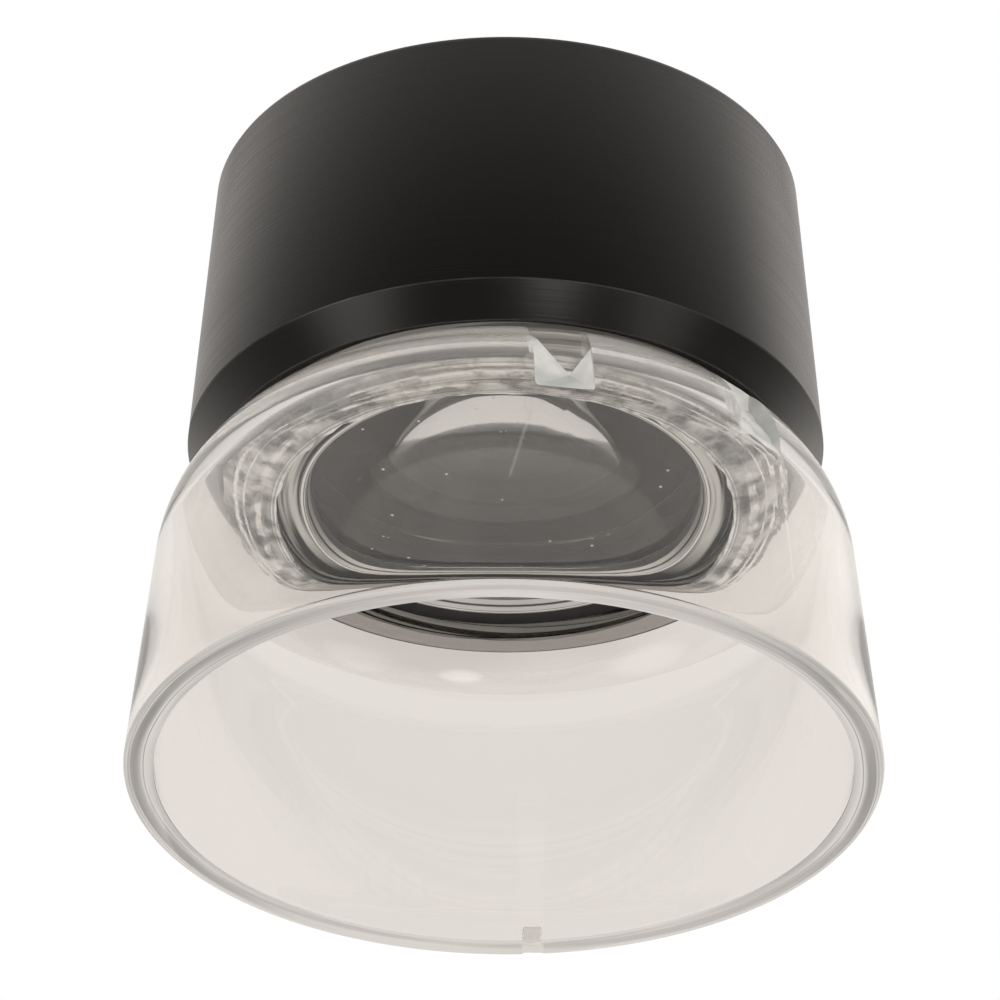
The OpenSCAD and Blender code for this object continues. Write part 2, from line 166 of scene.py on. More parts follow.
def draw_outline(name, points):
    """A wire outline in the XZ plane through points of (radius, height) in millimetres."""
    bpy.ops.object.select_all(action="DESELECT")
    bpy.ops.mesh.primitive_plane_add(size=MM)
    piece = bpy.context.object
    piece.name = name
    piece.data.name = name
    bpy.ops.object.mode_set(mode="EDIT")
    bpy.ops.mesh.select_mode(type="VERT")
    bpy.ops.mesh.merge(type="CENTER")
    bpy.ops.transform.translate(value=(points[0][0] * MM, 0, points[0][1] * MM))
    for (r0, z0), (r1, z1) in zip(points, points[1:]):
        step = ((r1 - r0) * MM, 0, (z1 - z0) * MM)
        bpy.ops.mesh.extrude_region_move(TRANSFORM_OT_translate={"value": step})
    return piece


def lathe(name, points, closed=True, steps=TURN_STEPS):
    """A turned solid. A closed outline gives a ring, an open one ends on the axis."""
    route = points + points[:1] if closed else points
    piece = draw_outline(name, route)
    merge_doubles()
    bpy.ops.mesh.spin(steps=steps, angle=math.tau, center=(0, 0, 0), axis=(0, 0, 1))
    merge_doubles()
    bpy.ops.mesh.normals_make_consistent(inside=False)
    bpy.ops.object.mode_set(mode="OBJECT")
    return piece


def arc(centre_r, centre_z, radius, start, end, count):
    """Points along an arc of the outline, angles in degrees from the outward direction."""
    angles = [math.radians(start + (end - start) * i / count) for i in range(count + 1)]
    return [(centre_r + radius * math.cos(a), centre_z + radius * math.sin(a)) for a in angles]


def apply_modifiers(piece):
    """Applies every modifier of a piece, in order."""
    select_only(piece)
    for modifier in list(piece.modifiers):
        bpy.ops.object.modifier_apply(modifier=modifier.name)


def cut_away(piece, cutter):
    """Subtracts one mesh from another; the cut faces keep the cutter's material."""
    boolean = piece.modifiers.new("cut", "BOOLEAN")
    boolean.operation = "DIFFERENCE"
    boolean.solver = "EXACT"
    boolean.material_mode = "TRANSFER"
    boolean.object = cutter
    apply_modifiers(piece)
    bpy.data.objects.remove(cutter)


def join_solids(piece, other):
    """Joins another closed mesh to a piece as one skin."""
    boolean = piece.modifiers.new("join", "BOOLEAN")
    boolean.operation = "UNION"
    boolean.solver = "EXACT"
    boolean.object = other
    apply_modifiers(piece)
    bpy.data.objects.remove(other)


def smooth(piece, angle=30):
    """Smooth shading with sharp edges where faces meet at more than an angle."""
    select_only(piece)
    bpy.ops.object.shade_smooth_by_angle(angle=math.radians(angle))


def soften(piece, width, segments=2, angle=30):
    """A small bevel on every edge sharper than an angle, as a finished piece has."""
    bevel = piece.modifiers.new("soften", "BEVEL")
    bevel.width = width * MM
    bevel.segments = segments
    bevel.limit_method = "ANGLE"
    bevel.angle_limit = math.radians(angle)
    bevel.use_clamp_overlap = True
    apply_modifiers(piece)


def paint(piece, *materials):
    """Gives a piece its materials, in the order of its slots."""
    piece.data.materials.clear()
    for material in materials:
        piece.data.materials.append(material)


print("helpers ready")

# %% [markdown]
# ## Materials
# Each finish is a small node tree that reads Object coordinates, so nothing slides when a piece
# moves. Values that are the same all over are set on the shader itself.

# %% Helpers for materials
class Nodes:
    """A node tree, with short calls for what the finishes and the world share."""

    def __init__(self, tree):
        self.tree = tree

    def node(self, kind, **values):
        made = self.tree.nodes.new(kind)
        for key, value in values.items():
            setattr(made, key, value)
        return made

    def link(self, start, end):
        self.tree.links.new(start, end)

    def plug(self, socket, value):
        """Sets a socket to a number or a colour, or links it to another socket."""
        if isinstance(value, (int, float)):
            socket.default_value = value
        elif isinstance(value, tuple):
            socket.default_value = (*value, 1)
        else:
            self.link(value, socket)

    def math(self, operation, a, b=0):
        """A math node on sockets or numbers."""
        made = self.node("ShaderNodeMath", operation=operation)
        self.plug(made.inputs[0], a)
        self.plug(made.inputs[1], b)
        return made.outputs["Value"]

    def ramp(self, source, low, high, start=0.0, end=1.0, kind="LINEAR"):
        """Maps a span of a value to another span, clamped."""
        span = self.node("ShaderNodeMapRange", interpolation_type=kind)
        limits = {"From Min": low, "From Max": high, "To Min": start, "To Max": end}
        for key, value in limits.items():
            span.inputs[key].default_value = value
        self.link(source, span.inputs["Value"])
        return span.outputs["Result"]

    def blend(self, share, first, second):
        """A colour between two colours."""
        mix = self.node("ShaderNodeMix", data_type="RGBA")
        self.plug(mix.inputs[6], first)
        self.plug(mix.inputs[7], second)
        self.link(share, mix.inputs["Factor"])
        return mix.outputs[2]


class Tree(Nodes):
    """The node tree of a material, with its shader and its Object coordinates."""

    def __init__(self, name):
        self.material = bpy.data.materials.new(name)
        self.material.use_nodes = True
        super().__init__(self.material.node_tree)
        self.shader = self.tree.nodes["Principled BSDF"]
        self.output = self.tree.nodes["Material Output"]
        self.place = self.node("ShaderNodeTexCoord").outputs["Object"]

    def set(self, **values):
        """Sets the shader's own sockets; underscores stand for spaces."""
        for key, value in values.items():
            self.shader.inputs[key.replace("_", " ")].default_value = value

    def feed(self, name, source):
        """Links a socket of the shader."""
        self.link(source, self.shader.inputs[name])

    def axes(self, vector=None):
        """The three parts of a vector, which is the Object coordinates if none is given."""
        split = self.node("ShaderNodeSeparateXYZ")
        self.link(self.place if vector is None else vector, split.inputs["Vector"])
        return split.outputs["X"], split.outputs["Y"], split.outputs["Z"]

    def stretched(self, scale):
        """Object coordinates, scaled along each axis."""
        mapping = self.node("ShaderNodeMapping")
        mapping.inputs["Scale"].default_value = scale
        self.link(self.place, mapping.inputs["Vector"])
        return mapping.outputs["Vector"]

    def noise(self, scale, detail=3, stretch=None, vector=None):
        """Noise on the Object coordinates, on stretched ones or on another vector."""
        texture = self.node("ShaderNodeTexNoise")
        texture.inputs["Scale"].default_value = scale
        texture.inputs["Detail"].default_value = detail
        if vector is None:
            vector = self.stretched(stretch) if stretch else self.place
        self.link(vector, texture.inputs["Vector"])
        return texture.outputs["Fac"]

    def bump(self, height, strength, distance):
        made = self.node("ShaderNodeBump")
        made.inputs["Strength"].default_value = strength
        made.inputs["Distance"].default_value = distance * MM
        self.link(height, made.inputs["Height"])
        self.feed("Normal", made.outputs["Normal"])

    def height_and_radius(self):
        """Height along the axis and distance from it, in metres."""
        x, y, z = self.axes()
        squares = self.math("ADD", self.math("MULTIPLY", x, x), self.math("MULTIPLY", y, y))
        return z, self.math("SQRT", squares)

    def streaks(self, scale, detail=3):
        """Noise drawn out along the turning direction, as a lathe tool leaves it."""
        height, radius = self.height_and_radius()
        x, y, _ = self.axes(self.stretched((0.035, 0.035, 1)))
        place = self.node("ShaderNodeCombineXYZ")
        for source, socket in zip((self.math("ADD", radius, height), x, y), place.inputs):
            self.link(source, socket)
        return self.noise(scale, detail, vector=place.outputs["Vector"])

    def bands(self, source, stops):
        """Grey bands at given places of a value from 0 to 1."""
        ramp = self.node("ShaderNodeValToRGB")
        elements = ramp.color_ramp.elements
        while len(elements) < len(stops):
            elements.new(0.5)
        for element, (place, grey) in zip(elements, stops):
            element.position = place
            element.color = (grey, grey, grey * 0.98, 1)
        self.link(source, ramp.inputs["Fac"])
        return ramp.outputs["Color"]

    def side(self, low, high, start, end):
        """A value that changes from the front of the object to its back, between two depths."""
        _, y, _ = self.axes()
        return self.ramp(y, low * MM, high * MM, start, end)

    def let_light_through(self, tint):
        """Light falls straight through clear material, so that it casts a pale shadow."""
        path = self.node("ShaderNodeLightPath")
        clear = self.node("ShaderNodeBsdfTransparent")
        clear.inputs["Color"].default_value = (*tint, 1)
        mix = self.node("ShaderNodeMixShader")
        straight = self.math("MAXIMUM", path.outputs["Is Shadow Ray"], path.outputs["Is Diffuse Ray"])
        self.link(straight, mix.inputs[0])
        self.link(self.shader.outputs["BSDF"], mix.inputs[1])
        self.link(clear.outputs["BSDF"], mix.inputs[2])
        self.link(mix.outputs[0], self.output.inputs["Surface"])


# %% Clear plastic
ACRYLIC_IOR = 1.49


def clear_acrylic():
    """Polished moulded plastic, with the faint waviness of moulding."""
    t = Tree("clear_acrylic")
    t.set(Base_Color=(0.955, 0.945, 0.93, 1), Transmission_Weight=1, IOR=ACRYLIC_IOR)
    t.feed("Roughness", t.ramp(t.noise(900, 4), 0.45, 0.8, 0.0, 0.05))
    t.bump(t.noise(160, 2), 0.05, 0.05)
    t.let_light_through((0.94, 0.94, 0.93))
    return t.material


def scuffed_acrylic():
    """The outside of the shoulder, where fingers and the barrel's lip have dulled it in rings."""
    t = Tree("scuffed_acrylic")
    t.set(Base_Color=(0.97, 0.96, 0.94, 1), IOR=ACRYLIC_IOR, Roughness=0.06)
    t.feed("Transmission Weight", t.ramp(t.streaks(1100, 4), 0.42, 0.6, 0.48, 0.86))
    t.let_light_through((0.94, 0.94, 0.93))
    return t.material


def broken_acrylic():
    """The white, frosted face where the plastic broke."""
    t = Tree("broken_acrylic")
    t.set(IOR=ACRYLIC_IOR, Roughness=0.3)
    cloud = t.ramp(t.noise(700, 4), 0.4, 0.6)
    t.feed("Base Color", t.blend(cloud, (0.86, 0.92, 0.90), (1.0, 1.0, 0.99)))
    t.feed("Transmission Weight", t.ramp(cloud, 0, 1, 0.4, 0.1))
    t.bump(t.noise(900, 6), 0.6, 0.12)
    t.let_light_through((0.8, 0.8, 0.8))
    return t.material


def rim_face():
    """The flat face that stands on the work, with painted highlight lines and painted shade bands
    along it.
    """
    t = Tree("rim_face")
    _, radius = t.height_and_radius()
    sway = t.math("MULTIPLY", t.noise(45, 2), 0.9 * MM)
    across = t.ramp(t.math("ADD", radius, sway), 20.30 * MM, 21.95 * MM)
    # painted highlights and painted shade: the white stops are bright lines and the grey stops dark
    # bands across the rim
    stops = [(0, 0.8), (0.2, 0.9), (0.26, 1.0), (0.30, 0.4), (0.34, 1.0), (0.42, 0.6)]
    stops += [(0.5, 0.4), (0.72, 0.33), (0.78, 1.0), (0.82, 0.45), (0.86, 1.0), (0.92, 0.7)]
    painted_light_bands = t.bands(across, stops)
    streak = t.ramp(t.streaks(1600), 0.4, 0.62)
    # painted light: the rim is painted paler at the front and at the back
    near_and_far = t.math("MAXIMUM", t.side(2, 19, 0, 0.93), t.side(-19, -8, 0.85, 0))
    pale = t.math("MAXIMUM", t.math("MULTIPLY", streak, 0.45), near_and_far)
    t.feed("Base Color", t.blend(pale, painted_light_bands, (1.0, 0.99, 0.97)))
    t.feed("Transmission Weight", t.ramp(streak, 0, 1, 0.05, 0.3))
    t.set(IOR=ACRYLIC_IOR, Roughness=0.1)
    t.let_light_through((0.9, 0.9, 0.9))
    return t.material


def turned_bore():
    """The bore of the shoulder, left dull by the tool, with cream and grey lines along the cut."""
    t = Tree("turned_bore")
    streak = t.ramp(t.streaks(1500, 4), 0.42, 0.55)
    t.feed("Base Color", t.blend(streak, (0.66, 0.66, 0.65), (1.0, 0.98, 0.94)))
    t.set(IOR=ACRYLIC_IOR, Roughness=0.25, Transmission_Weight=0.08)
    t.bump(t.noise(2600, 4), 0.25, 0.03)
    t.let_light_through((0.9, 0.9, 0.89))
    return t.material


def turned_thread():
    """The thread, duller at the front, where it was handled, than at the back."""
    t = Tree("turned_thread")
    streak = t.ramp(t.streaks(1700, 4), 0.4, 0.6)
    t.feed("Base Color", t.blend(streak, (0.6, 0.6, 0.59), (1.0, 0.97, 0.92)))
    t.feed("Transmission Weight", t.side(-6, 2, 0.4, 0.98))
    t.set(IOR=ACRYLIC_IOR, Roughness=0.2)
    t.bump(t.noise(2600, 4), 0.25, 0.03)
    t.let_light_through((0.85, 0.85, 0.84))
    return t.material


def frosted_scar():
    """The scar of the moulding gate, cut off and left frosted."""
    t = Tree("frosted_scar")
    t.feed("Base Color", t.blend(t.noise(1800, 3), (0.8, 0.8, 0.78), (0.93, 0.92, 0.9)))
    t.set(IOR=ACRYLIC_IOR, Roughness=0.6, Transmission_Weight=0.55)
    t.bump(t.noise(2600, 3), 0.4, 0.03)
    t.let_light_through((0.9, 0.9, 0.9))
    return t.material


print("clear plastics ready")


# %% Cement and glass
def rough_cement():
    """Clear cement that cured in lumps at the front and sides and smooth at the back.

    Its colour changes with the place: plain streaks in the middle of the front, lumps at the
    sides, painted highlights as thin white lines over both, and painted highlight bands on the
    bead over the neck's mouth. At the back the face towards the gap round the neck is painted
    dark, as painted shade.
    """
    t = Tree("rough_cement")
    cloud = t.ramp(t.noise(380, 3), 0.42, 0.6)
    lump = t.blend(cloud, (0.36, 0.36, 0.35), (0.8, 0.8, 0.78))
    x, _, _ = t.axes()
    aside = t.ramp(t.math("ABSOLUTE", x), 4 * MM, 10 * MM)
    plain = t.blend(t.ramp(t.streaks(2000), 0.42, 0.5), (0.36, 0.35, 0.33), (0.72, 0.71, 0.68))
    # painted highlights: thin white lines over the lumps and the plain streaks
    streak = t.ramp(t.streaks(1500), 0.53, 0.58)
    front_with_highlights = t.blend(streak, t.blend(aside, plain, lump), (1.0, 0.99, 0.96))
    behind = t.side(7, 11, 0, 1)
    _, radius = t.height_and_radius()
    # painted shade: at the back, the face towards the gap round the neck is painted dark
    gap_shade = t.ramp(radius, 15.62 * MM, 15.68 * MM)
    back_with_gap_shade = t.blend(gap_shade, (0.36, 0.34, 0.32), (0.10, 0.085, 0.075))
    # painted highlights: the white bands on the bead over the neck's mouth
    stops = [(0, 1.0), (0.3, 1.0), (0.38, 0.4), (0.5, 0.55), (0.62, 1.0), (0.74, 0.45), (1, 0.6)]
    bead = t.bands(t.ramp(radius, 13.28 * MM, 13.80 * MM), stops)
    front_with_highlights = t.blend(t.ramp(radius, 13.95 * MM, 13.70 * MM), front_with_highlights, bead)
    t.feed("Base Color", t.blend(behind, front_with_highlights, back_with_gap_shade))
    window = t.ramp(t.noise(700, 2), 0.42, 0.6, 0.1, 0.8)
    t.feed("Transmission Weight", t.math("MULTIPLY", window, t.side(7, 11, 1, 0)))
    t.set(IOR=1.5, Roughness=0.14)
    t.bump(t.noise(1500, 4), 0.5, 0.15)
    t.let_light_through((0.85, 0.85, 0.84))
    return t.material


def add_dust(t):
    """Puts specks, a scratch and a thin film on the flat lower face of a lens."""
    speck_size = (0.085, 0.05)
    scratch_ahead = 4.8 * MM
    scratch_slant = -0.18
    scratch_half = (4.2 * MM, 3.2 * MM)
    scratch_edge = (0.16 * MM, 0.04 * MM)
    face_z = (19.35 * MM, 19.25 * MM)
    cell = t.node("ShaderNodeTexVoronoi")
    cell.inputs["Scale"].default_value = 700
    t.link(t.place, cell.inputs["Vector"])
    near = t.ramp(cell.outputs["Distance"], *speck_size)
    grey = t.node("ShaderNodeRGBToBW")
    t.link(cell.outputs["Color"], grey.inputs["Color"])
    few = t.ramp(grey.outputs["Val"], 0.3, 0.34)
    specks = t.math("MULTIPLY", near, few)
    x, y, z = t.axes()
    aside = t.math("SUBTRACT", x, t.math("MULTIPLY", y, scratch_slant))
    line = t.ramp(t.math("ABSOLUTE", aside), *scratch_edge)
    along = t.math("ABSOLUTE", t.math("ADD", y, scratch_ahead))
    scratch = t.math("MULTIPLY", t.math("MULTIPLY", line, t.ramp(along, *scratch_half)), 0.28)
    film = t.ramp(t.noise(160, 4), 0.4, 0.8, 0.02, 0.06)
    dust = t.math("MAXIMUM", t.math("MAXIMUM", specks, scratch), film)
    pale = t.node("ShaderNodeBsdfDiffuse")
    pale.inputs["Color"].default_value = (0.75, 0.74, 0.72, 1)
    mix = t.node("ShaderNodeMixShader")
    t.link(t.math("MULTIPLY", dust, t.ramp(z, *face_z)), mix.inputs[0])
    t.link(t.output.inputs["Surface"].links[0].from_socket, mix.inputs[1])
    t.link(pale.outputs["BSDF"], mix.inputs[2])
    t.link(mix.outputs[0], t.output.inputs["Surface"])


def lens_glass(name="lens_glass", dusty=False):
    """Polished lens glass. The lowest lens has dust and a scratch on its outer face."""
    t = Tree(name)
    t.set(Transmission_Weight=1, IOR=1.52, Roughness=0.0, Base_Color=(0.96, 0.97, 0.965, 1))
    t.let_light_through((0.93, 0.93, 0.93))
    if dusty:
        add_dust(t)
    return t.material


print("cement and glass ready")


# %% Black and bright metal
def black_anodised():
    """Satin black anodised barrel: fine turning marks and faint wear."""
    t = Tree("black_anodised")
    rings = t.noise(30, 2, stretch=(1, 1, 260))
    wear = t.noise(60, 4)
    t.feed("Base Color", t.blend(wear, (0.0075, 0.0074, 0.0067), (0.0105, 0.0100, 0.0090)))
    t.feed("Roughness", t.ramp(rings, 0.3, 0.7, 0.25, 0.31))
    t.set(Specular_IOR_Level=0.235)
    t.bump(rings, 0.08, 0.01)
    return t.material


def turned_bevel():
    """The bevel, left with deeper rings from the tool."""
    t = Tree("turned_bevel")
    height, _ = t.height_and_radius()
    wave = t.noise(1, 4, stretch=(40, 40, 9000))
    t.feed("Base Color", t.blend(wave, (0.006, 0.006, 0.0055), (0.016, 0.016, 0.015)))
    t.set(Roughness=0.24, Specular_IOR_Level=0.45, Anisotropic=0.5)
    t.bump(wave, 0.35, 0.012)
    return t.material


def worn_edge():
    """The turned edge, where the black has worn thin."""
    t = Tree("worn_edge")
    t.feed("Base Color", t.blend(t.noise(500, 4), (0.02, 0.02, 0.019), (0.11, 0.108, 0.10)))
    t.feed("Roughness", t.ramp(t.noise(300, 2), 0.3, 0.7, 0.25, 0.4))
    t.set(Metallic=0.4)
    return t.material


def matt_black(name="matt_black", pale_rings_below=None):
    """Dull black of inner pieces, which must not glare. The end that shows has pale rings painted at
    the front, as painted highlights.
    """
    t = Tree(name)
    black = t.blend(t.noise(400, 3), (0.010, 0.010, 0.010), (0.018, 0.018, 0.018))
    if pale_rings_below:
        height, _ = t.height_and_radius()
        at_end = t.ramp(height, (pale_rings_below + 0.05) * MM, pale_rings_below * MM)
        # painted highlights: pale rings on the lower end, at the front only
        rings = t.ramp(t.streaks(1500), 0.40, 0.52)
        painted_highlight_rings = t.math("MULTIPLY", t.math("MULTIPLY", rings, at_end), t.side(3, 8, 1, 0))
        black = t.blend(painted_highlight_rings, black, (0.72, 0.71, 0.68))
    t.feed("Base Color", black)
    t.feed("Roughness", t.ramp(t.noise(700, 3), 0.3, 0.7, 0.5, 0.65))
    t.bump(t.noise(2500, 3), 0.1, 0.02)
    return t.material


def bright_turned():
    """Bright aluminium with turning rings."""
    t = Tree("bright_turned")
    _, radius = t.height_and_radius()
    radians_per_metre = 31400
    wave = t.math("SINE", t.math("MULTIPLY", radius, radians_per_metre))
    rings = t.ramp(wave, -0.95, -0.3)
    t.feed("Base Color", t.blend(rings, (0.12, 0.12, 0.118), (0.85, 0.85, 0.83)))
    t.set(Metallic=1, Roughness=0.3)
    t.bump(rings, 0.1, 0.01)
    return t.material


def small_part(name, cloud, dark, pale, grain, bump, shine=None, **values):
    """A finish for a small inner piece: clouded colour, fine grain and, if given, uneven shine."""
    t = Tree(name)
    t.feed("Base Color", t.blend(t.noise(*cloud), dark, pale))
    if shine:
        t.feed("Roughness", t.ramp(t.noise(500, 3), 0.3, 0.7, *shine))
    t.set(**values)
    t.bump(t.noise(*grain), *bump)
    return t.material


print("black and bright metal ready")

# %% [markdown]
# The small inner pieces differ only in colour, grain and shine, so one function makes the finish
# of each. The brass round the neck is blackened, so that it doesn't glare through the clear
# plastic.

# %% All finishes
brass_marks = (40, 2, (1, 1, 200))
finish = {
    "clear": clear_acrylic(),
    "scuffed": scuffed_acrylic(),
    "broken": broken_acrylic(),
    "rim": rim_face(),
    "gate": frosted_scar(),
    "bore": turned_bore(),
    "thread": turned_thread(),
    "cement": rough_cement(),
    "glass": lens_glass(),
    "dusty": lens_glass("dusty_glass", dusty=True),
    "worn": worn_edge(),
    "black": black_anodised(),
    "bevel": turned_bevel(),
    "matt": matt_black(),
    "cell": matt_black("black_with_painted_rings", pale_rings_below=low_mm("lens_cell") + 0.1),
    "bright": bright_turned(),
    "brass": small_part(
        "turned_brass", (300, 4), (0.45, 0.33, 0.14), (0.6, 0.45, 0.2),
        brass_marks, (0.1, 0.01), shine=(0.25, 0.4), Metallic=1,
    ),
    "dark_brass": small_part(
        "blackened_brass", (300, 4), (0.010, 0.0095, 0.009), (0.022, 0.02, 0.017),
        brass_marks, (0.1, 0.01), shine=(0.35, 0.5), Specular_IOR_Level=0.4,
    ),
    "steel": small_part(
        "ground_steel", (900, 2), (0.5, 0.5, 0.5), (0.6, 0.6, 0.6),
        (3000, 2), (0.05, 0.005), Metallic=1, Roughness=0.25,
    ),
    "ptfe": small_part(
        "white_ptfe", (200, 2), (0.78, 0.78, 0.76), (0.85, 0.85, 0.83),
        (1500, 2), (0.05, 0.01), Roughness=0.45,
    ),
    "rubber": small_part(
        "drag_rubber", (500, 2), (0.018, 0.018, 0.018), (0.03, 0.03, 0.03),
        (1500, 2), (0.08, 0.01), Roughness=0.35,
    ),
}
print("finishes:", ", ".join(finish))

# %% [markdown]
# ## The clear skirt
# The skirt is one moulding: a wall that leans in a little, a rounded shoulder, a seat inside the
# rim and a hole for the neck. The shoulder's two arcs are drawn in short steps. The corners of
# the rim are rounded, because a sharp clear edge would show no bright line.

# %% Skirt
def inner_wall(count=24):
    """The inner wall from the shoulder down to the rim.

    It leans less and less on its way down, and turns a little inwards above the rim, so the
    plastic acts as a stronger and stronger prism there and flattens the view of the lens.
    """
    bottom = 0.3
    lean = 0.0833
    lean_from = 0.6
    fade = 3.2
    swell = 0.13
    swell_from = 0.9
    swell_fade = 0.6
    outward = 0.03
    points = []
    for i in range(count + 1):
        z = bottom + shoulder_z * (1 - i / count) ** 1.6
        rise = max(0, z - lean_from)
        radius = seat_r - lean * (rise - fade * (1 - math.exp(-rise / fade)))
        if z > swell_from:
            radius += swell * swell_fade * (1 - math.exp((swell_from - z) / swell_fade))
        else:
            radius -= swell * (swell_from - z)
        points.append((radius + outward, z))
    return points


hole_out = math.degrees(math.acos((hole_r - shoulder_c) / shoulder_r))
hole_in = math.degrees(math.acos((hole_r - inside_c) / shoulder_in))
rim_round = 0.3
seat_round = 0.22
seat_lip = 0.17
inner_end = 4.5
skirt_outline = (
    arc(rim_r - rim_round, rim_round, rim_round, -90, 5, 5)
    + arc(shoulder_c, shoulder_z, shoulder_r, math.degrees(wall_draft), hole_out, 28)
    + arc(inside_c, shoulder_z, shoulder_in, hole_in, inner_end, 22)
    + inner_wall()
    + arc(seat_r + seat_lip, seat_round, seat_round, 180, 270, 4)
)
skirt = lathe("skirt_shell", skirt_outline)
print("skirt:", len(skirt.data.polygons), "faces")

# %% [markdown]
# The notch has straight sides and a floor that climbs inwards to a broken V. Its cutter is a cube
# whose lower inner edge is divided, so that the middle can be pulled down into the tip of the V.
# Its inner and outer faces are then extruded, so that it cuts right through.

# %% Notch in the shoulder
notch_w = 3.35
notch_z = shoulder_z + 0.8
clear_z = 23
straight_on = 0.995

# the V: height of its tip above the outer edge, how far right the tip is, and height of its sides
web_rise = 1.8
web_tip = 0.5
web_left = 2.6
web_right = 1.9


def turned(piece, angle):
    """Turns a mesh about the vertical axis, towards the right of the front."""
    piece.data.transform(Matrix.Rotation(angle - math.pi / 2, 4, "Z"))


def outside_reach(z):
    """Radius of the shoulder's outside at a height."""
    return shoulder_c + math.sqrt(shoulder_r**2 - (z - shoulder_z) ** 2)


def inside_reach(z):
    """Radius of the shoulder's inside at a height."""
    return inside_c + math.sqrt(shoulder_in**2 - (z - shoulder_z) ** 2)


def notch_cutter():
    """Straight sides, and a floor from the outer edge up to a V on the inside."""
    outer = outside_reach(notch_z)
    inner = inside_reach(notch_z + web_rise)

    def on_inner_floor(place):
        return place.x < (inner + 0.01) * MM and place.z < (clear_z - 1) * MM

    cutter = unit_cube()
    for vertex in cutter.data.vertices:
        out = vertex.co.x > 0
        top = vertex.co.z > 0
        left = vertex.co.y < 0
        reach = outer if out else inner
        floor = notch_z if out else notch_z + web_rise + (web_left if left else web_right)
        across = notch_w / 2 * (-1 if left else 1)
        vertex.co = Vector((reach, across, clear_z if top else floor)) * MM
    bpy.ops.object.mode_set(mode="EDIT")
    bpy.ops.mesh.select_all(action="DESELECT")
    bpy.ops.object.mode_set(mode="OBJECT")
    for edge in cutter.data.edges:
        edge.select = all(on_inner_floor(cutter.data.vertices[i].co) for i in edge.vertices)
    bpy.ops.object.mode_set(mode="EDIT")
    bpy.ops.mesh.select_mode(type="EDGE")
    bpy.ops.mesh.subdivide(number_cuts=1)
    bpy.ops.object.mode_set(mode="OBJECT")
    for vertex in cutter.data.vertices:
        if abs(vertex.co.y) < 0.01 * MM and on_inner_floor(vertex.co):
            vertex.co = Vector((inner, web_tip, notch_z + web_rise)) * MM
    return cutter, inner


cutter, inner_reach = notch_cutter()
outward_push = 3.0
inward_push = inner_reach - hole_r + 0.3
bpy.ops.object.mode_set(mode="EDIT")
bpy.ops.mesh.select_mode(type="FACE")
for facing, push in ((1, outward_push), (-1, inward_push)):
    bpy.ops.mesh.select_all(action="DESELECT")
    bpy.ops.object.mode_set(mode="OBJECT")
    for face in cutter.data.polygons:
        face.select = face.normal.x * facing > straight_on
    bpy.ops.object.mode_set(mode="EDIT")
    bpy.ops.mesh.extrude_region_move(TRANSFORM_OT_translate={"value": (facing * push * MM, 0, 0)})
bpy.ops.mesh.select_all(action="SELECT")
bpy.ops.mesh.quads_convert_to_tris()
bpy.ops.mesh.normals_make_consistent(inside=False)
bpy.ops.object.mode_set(mode="OBJECT")
turned(cutter, notch_turn)
paint(cutter, finish["clear"], finish["broken"])
for face in cutter.data.polygons:
    face.material_index = 1 if face.normal.z < -0.05 else 0
paint(skirt, finish["clear"])
cut_away(skirt, cutter)
print("notch cut, skirt now", len(skirt.data.polygons), "faces")

# %% [markdown]
# The chip is a slanting break. Its cutter is a block with a slanting lower face, roughened with
# noise. The scar of the moulding gate is a shallow recess at the back of the rim.

# %% Chip in the shoulder and scar of the gate
chip_low = notch_z
chip_out = 22.4
chip_in = hole_r + 1
chip_deep = 1.2
chip_cuts = 7
rough_push = Vector((0.6, 0, 0.8))

# half the chip's width, and how far all but its lower outer edge is moved to one side
chip_half = 1.65
chip_slide = 0.9

gate_x = 1.8
gate_w = 1.25
gate_high = 1.5
gate_deep = 0.45
gate_round = 0.2


def chip_cutter():
    """A block whose lower face slants across the shoulder."""
    surface_z = shoulder_z + math.sqrt(shoulder_r**2 - (chip_in - shoulder_c) ** 2)
    block = unit_cube()
    for vertex in block.data.vertices:
        out = vertex.co.x > 0
        top = vertex.co.z > 0
        slide = 0 if (out and not top) else chip_slide
        across = chip_half * (-1 if vertex.co.y < 0 else 1) + slide
        if top:
            height = surface_z + 1
        else:
            height = chip_low if out else surface_z - chip_deep
        vertex.co = Vector((chip_out if out else chip_in, across, height)) * MM
        if out and not top:
            vertex.co.x = outside_reach(chip_low) * MM
    return block


def roughen(block):
    """Divides a block and pushes its faces about with noise, as a break would leave them."""
    bpy.ops.object.mode_set(mode="EDIT")
    bpy.ops.mesh.select_all(action="SELECT")
    bpy.ops.mesh.subdivide(number_cuts=chip_cuts)
    bpy.ops.object.mode_set(mode="OBJECT")
    for vertex in block.data.vertices:
        wobble = noise.noise(vertex.co * 900) * 0.28 + noise.noise(vertex.co * 2600) * 0.08
        vertex.co += rough_push * wobble * MM
    bpy.ops.object.mode_set(mode="EDIT")
    bpy.ops.mesh.select_all(action="SELECT")
    bpy.ops.mesh.quads_convert_to_tris()
    bpy.ops.object.mode_set(mode="OBJECT")


chip = chip_cutter()
roughen(chip)
turned(chip, chip_turn)
paint(chip, finish["broken"])
cut_away(skirt, chip)
gate = unit_cube()
for vertex in gate.data.vertices:
    low = vertex.co.z < 0
    back = vertex.co.y > 0
    depth = rim_r + 1 if back else rim_r - gate_deep
    vertex.co = Vector((vertex.co.x * gate_w + gate_x, depth, -0.5 if low else gate_high)) * MM
soften(gate, gate_round, 3)
paint(gate, finish["gate"])
cut_away(skirt, gate)
print("chip and gate scar cut, skirt now", len(skirt.data.polygons), "faces")

# %% [markdown]
# The skirt is one mesh with several finishes. A face gets its own by where it is and which way it
# looks: the flat of the rim, the bore round the neck, and the scuffed top of the shoulder.

